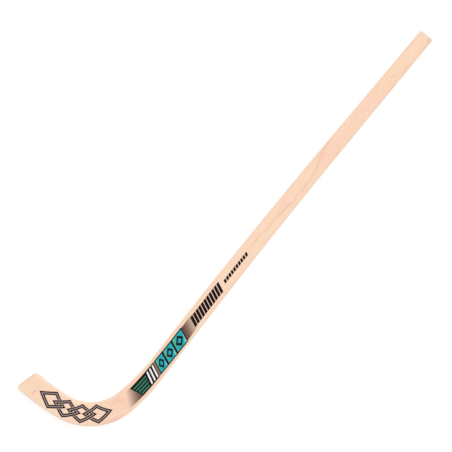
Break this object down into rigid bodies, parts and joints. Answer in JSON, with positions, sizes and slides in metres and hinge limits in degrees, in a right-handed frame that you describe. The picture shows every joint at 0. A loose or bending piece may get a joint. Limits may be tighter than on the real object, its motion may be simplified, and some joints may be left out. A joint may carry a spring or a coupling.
{
  "type": "roller hockey stick",
  "caption": "Bent wooden stick for rink hockey on roller skates: a slim bowed shaft that flares through a kerf-laminated heel into a short upturned blade.",
  "frame": {"origin": "middle of the footprint, on the surface that the stick's back face lies on", "axes": "+X along the grip towards the butt end, +Z out of the printed face, and the blade turns towards +Y"},
  "size_m": [1.0076, 0.2006, 0.0185],
  "materials": {
    "board": "satin lacquer on pale beech",
    "veneer": "satin lacquer on pale beech veneer"
  },
  "bodies": {
    "root": {"beech_board": "board", "kerf_veneer_1": "veneer", "kerf_veneer_2": "veneer", "kerf_veneer_3": "veneer", "kerf_veneer_4": "veneer", "kerf_veneer_5": "veneer", "kerf_veneer_6": "veneer", "kerf_veneer_7": "veneer"}
  },
  "joints": []
}
